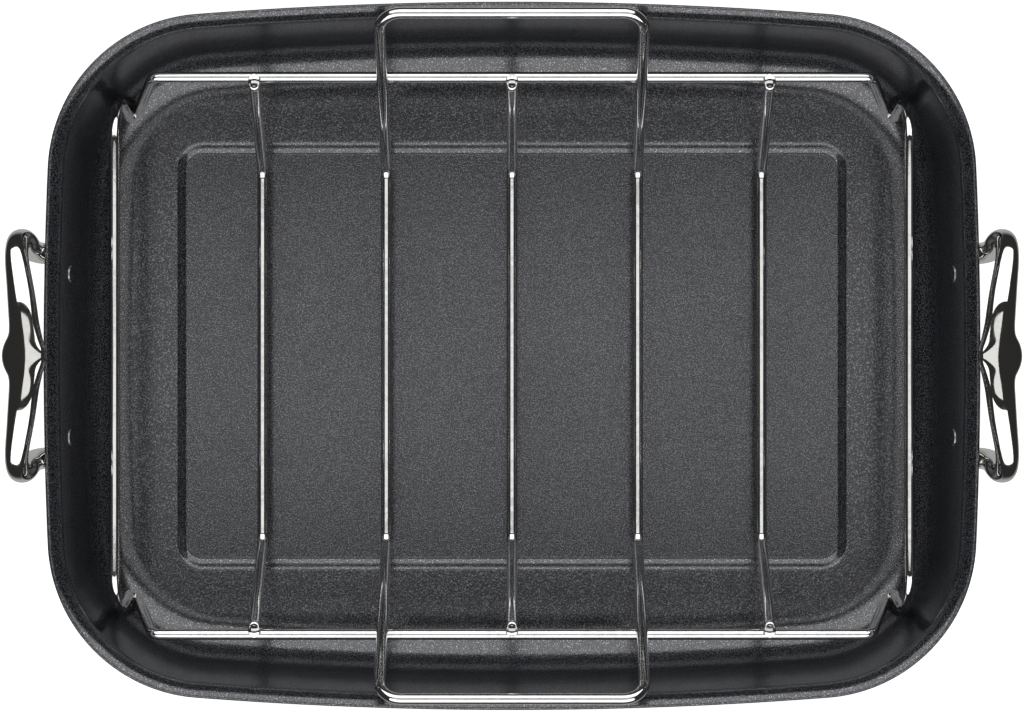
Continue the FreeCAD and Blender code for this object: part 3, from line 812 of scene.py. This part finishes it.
barSkin, barRun = barGrid()
for name, shift in (("left", -1), ("centre", 0), ("right", 1)):
    moved = barSkin + np.array([shift * bar["spacing"], 0, 0])
    addPiece(skinFromGrid(name + "BarWire", moved, run=barRun, girth=girth), wireSteel,
             "rack", "wire_steel", "rack_" + name + "_bar")


# Weld beads in the valleys beside each crossing of a wire and a rail: flattened balls, all made at once. A
# bead's point is its centre and a unit ball's point spread over the bead's three directions.
def makeBeads():
    across = np.concatenate([bar["spacing"] * np.array([-1, 0, 1]), loop["width"] * np.array([-0.5, 0.5])])
    x, way, flank = (part.ravel() for part in np.meshgrid(across, [1.0, -1.0], [1.0, -1.0], indexing="ij"))
    zero = np.zeros_like(x)
    touchY, touchZ = railY - rack["wire"] * sinSlope, railZ + rack["wire"] * cosSlope
    centre = np.stack([x + flank * weld["aside"], way * touchY, zero + touchZ], -1)
    wide = np.stack([way, zero, zero], -1) * weld["wide"]
    along = np.stack([zero, way * cosSlope, zero + sinSlope], -1) * weld["long"]
    upward = np.stack([zero, -way * sinSlope, zero + cosSlope], -1) * weld["thick"]
    rows, cols = weld["rows"], weld["columns"]
    tilt = span(0, math.pi, rows + 2)[1:-1, None, None]
    swing = (2 * math.pi * np.arange(cols) / cols)[None, :, None]
    ball = (np.sin(tilt) * np.cos(swing), np.sin(tilt) * np.sin(swing), np.cos(tilt) + 0 * swing)
    skin = sum(part * axis[:, None, None] for part, axis in zip(ball, (wide, along, upward)))
    poles = np.stack([upward, -upward], 1)
    points = np.concatenate([skin.reshape(len(x), -1, 3), poles], 1) + centre[:, None]
    index = np.arange(rows * cols).reshape(rows, cols)
    ahead = np.roll(index, -1, 1)
    quads = np.stack([index[:-1], index[1:], ahead[1:], ahead[:-1]], -1).reshape(-1, 4)
    top = np.stack([np.full(cols, rows * cols), index[0], ahead[0]], -1)
    bottom = np.stack([np.full(cols, rows * cols + 1), ahead[-1], index[-1]], -1)
    shift = (np.arange(len(x)) * points.shape[1])[:, None, None]
    faces = [(part + shift).reshape(-1, part.shape[1]).tolist() for part in (quads, top, bottom)]
    mesh = bpy.data.meshes.new("weldBeads")
    mesh.from_pydata(points.reshape(-1, 3), [], sum(faces, []))
    mesh.polygons.foreach_set("use_smooth", np.ones(len(mesh.polygons), bool))
    return mesh


addPiece(makeBeads(), wireSteel, "rack", "wire_steel")
print("rack done")

# Stage: white floor, two tall softboxes before and behind, a long narrow one overhead, dark to the sides
stage = {
    "floorSize": 12.0, "floorColour": (0.80, 0.80, 0.80, 1.0), "floorRoughness": 0.9, "floorGlow": 0.6,
    "white": (1.0, 1.0, 1.0, 1.0), "roomLevel": 0.03, "belowLevel": 0.45, "belowHeights": (-0.8, -0.4),
    "boxes": (  # name, place, aim, width, height, radiance
        ("rearSoftbox", (0.0, 1.686, 1.805), (0.0, 0.0, 0.05), 4.6, 2.46, 1.85),
        ("frontSoftbox", (0.0, -1.686, 1.805), (0.0, 0.0, 0.05), 4.6, 2.46, 1.85),
        ("topSoftbox", (0.0, 0.0, 2.6), (0.0, 0.0, 0.0), 3.2, 0.56, 0.98),
    ),
}


def makeStage():
    half = stage["floorSize"] / 2
    mesh = bpy.data.meshes.new("studioFloor")
    corners = [(-half, -half, 0), (half, -half, 0), (half, half, 0), (-half, half, 0)]
    mesh.from_pydata(corners, [], [(0, 1, 2, 3)])
    floor = bpy.data.objects.new("studioFloor", mesh)
    bpy.context.scene.collection.objects.link(floor)
    material, _, shader = newFinish("floorWhite")
    shader.inputs["Base Color"].default_value = stage["floorColour"]
    shader.inputs["Roughness"].default_value = stage["floorRoughness"]
    shader.inputs["Specular IOR Level"].default_value = 0.0
    shader.inputs["Emission Color"].default_value = stage["white"]
    shader.inputs["Emission Strength"].default_value = stage["floorGlow"]  # a sheet lit from below
    mesh.materials.append(material)
    floor.visible_glossy = False  # the polished pieces reflect a dark room, not the sheet
    for name, place, aim, width, height, radiance in stage["boxes"]:
        lamp = bpy.data.lights.new(name, "AREA")
        lamp.shape = "RECTANGLE"
        lamp.size, lamp.size_y = width, height
        lamp.energy = radiance * math.pi * width * height
        box = bpy.data.objects.new(name, lamp)
        bpy.context.scene.collection.objects.link(box)
        box.location = place
        toAim = Vector(aim) - Vector(place)
        box.rotation_euler = toAim.to_track_quat("-Z", "Y").to_euler()
        box.visible_camera = False
    world = bpy.data.worlds.new("studioAir")
    bpy.context.scene.world = world
    world.use_nodes = True
    tree = world.node_tree
    heading = addNode(tree, "ShaderNodeTexCoord").outputs["Generated"]
    height = addNode(tree, "ShaderNodeSeparateXYZ", {"Vector": heading}).outputs["Z"]
    level = ramp(tree, height, *stage["belowHeights"], stage["belowLevel"], stage["roomLevel"])
    tree.links.new(level, tree.nodes["Background"].inputs["Strength"])
    tree.nodes["Background"].inputs["Color"].default_value = stage["white"]


makeStage()

camera = {"place": (0.0, -0.0003, 1.376), "lens": 101.8, "sensor": 36.0, "clip": (0.05, 50.0)}
lens = bpy.data.cameras.new("topCamera")
lens.lens, lens.sensor_width = camera["lens"], camera["sensor"]
lens.clip_start, lens.clip_end = camera["clip"]
viewer = bpy.data.objects.new("topCamera", lens)
viewer.location = camera["place"]  # unturned, it looks straight down with the rear of the pan at the top
bpy.context.scene.collection.objects.link(viewer)
bpy.context.scene.camera = viewer
bpy.context.scene.view_settings.view_transform = "Standard"
print("stage done")
